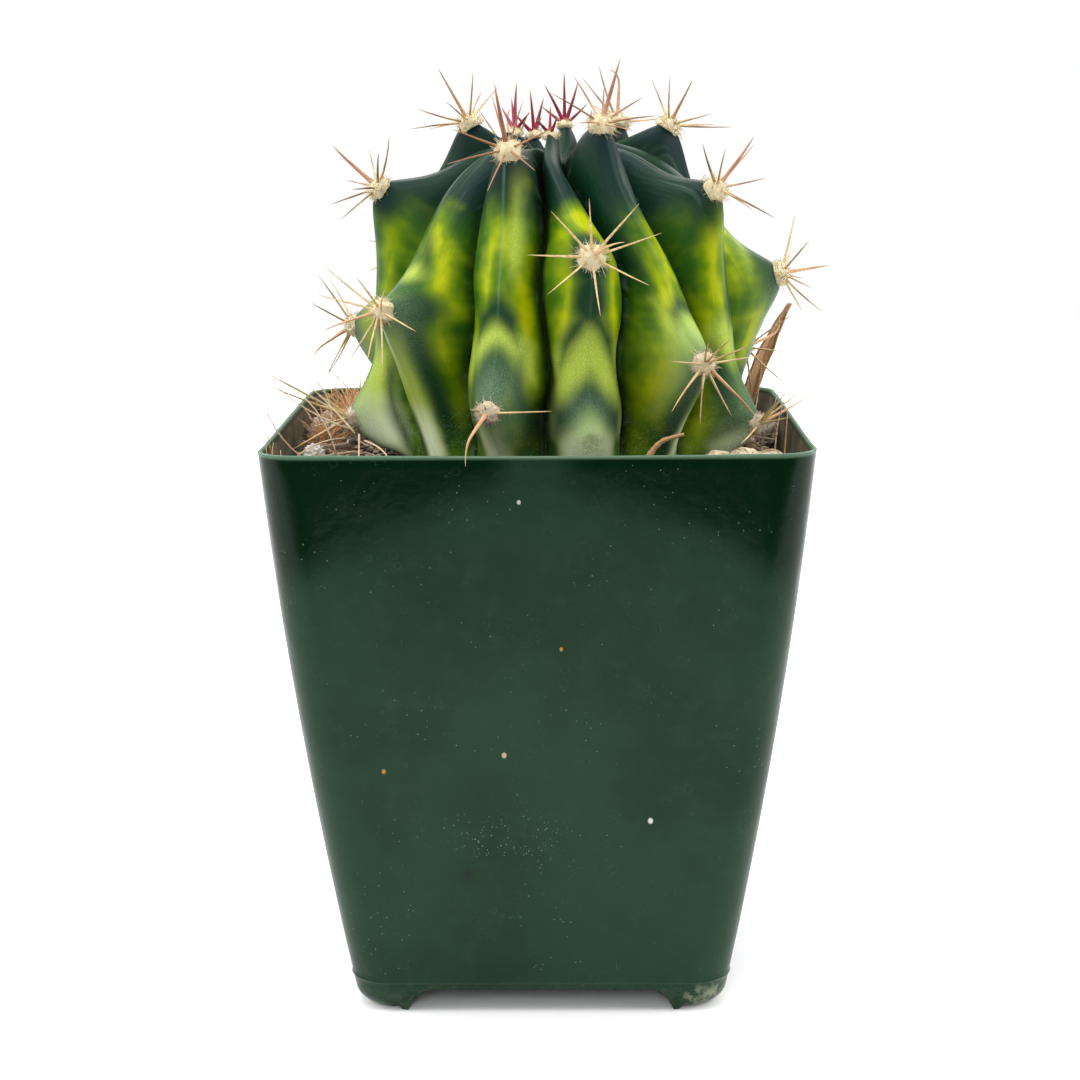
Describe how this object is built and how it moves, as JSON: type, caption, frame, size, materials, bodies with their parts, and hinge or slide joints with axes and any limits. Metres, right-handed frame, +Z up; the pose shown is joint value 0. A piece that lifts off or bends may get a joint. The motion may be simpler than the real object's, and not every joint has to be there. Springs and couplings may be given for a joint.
{
  "type": "potted barrel cactus",
  "caption": "Ribbed barrel cactus with hooked spines in a square tapered plastic nursery pot of gritty soil.",
  "frame": {"origin": "on the ground at the centre of the plant's overall box, which is under the pot's centre", "axes": "+Z up, the longest way of the part; the side seen in the picture faces -Y"},
  "size_m": [0.1063, 0.0995, 0.1694],
  "materials": {
    "pot_plastic": "dark green, satin, dusty and finely scratched",
    "cactus_skin": "waxy skin, blue-green with yellow and lime variegation",
    "spines": "tan horny spines with red-brown bases in cream wool",
    "young_spines": "crimson young spines in pale wool",
    "soil": "dark peat and bark mix",
    "pumice": "rough tan pumice",
    "gravel": "grey and reddish grit",
    "perlite": "white, chalky",
    "bark": "weathered bark chips",
    "coir": "orange-brown and yellow plant fibre",
    "husk": "dry papery husk and straw"
  },
  "bodies": {
    "root": {"pot": "pot_plastic", "soil_mix": "soil", "cactus_stem": "cactus_skin", "areole_lower_00": "spines", "areole_lower_01": "spines", "areole_lower_02": "spines", "areole_lower_03": "spines", "areole_lower_04": "spines", "areole_lower_05": "spines", "areole_lower_06": "spines", "areole_lower_07": "spines", "areole_lower_08": "spines", "areole_lower_09": "spines", "areole_lower_10": "spines", "areole_lower_11": "spines", "areole_lower_12": "spines", "areole_upper_00": "young_spines", "areole_upper_01": "spines", "areole_upper_02": "spines", "areole_upper_03": "young_spines", "areole_upper_04": "spines", "areole_upper_05": "spines", "areole_upper_06": "young_spines", "areole_upper_07": "spines", "areole_upper_08": "young_spines", "areole_upper_09": "spines", "areole_upper_10": "spines", "areole_upper_11": "young_spines", "areole_upper_12": "spines", "stone_pumice": "pumice", "stone_pale": "pumice", "stone_back": "pumice", "stone_red": "gravel", "stone_gravel": "gravel", "stone_small": "gravel", "stone_mauve": "gravel", "stone_side": "gravel", "perlite_left": "perlite", "perlite_front": "perlite", "perlite_back": "perlite", "bark_left": "bark", "bark_front": "bark", "bark_back": "bark", "coir_back": "coir", "coir_left": "coir", "moss_left": "coir", "husk": "husk", "straw": "husk"}
  },
  "joints": []
}
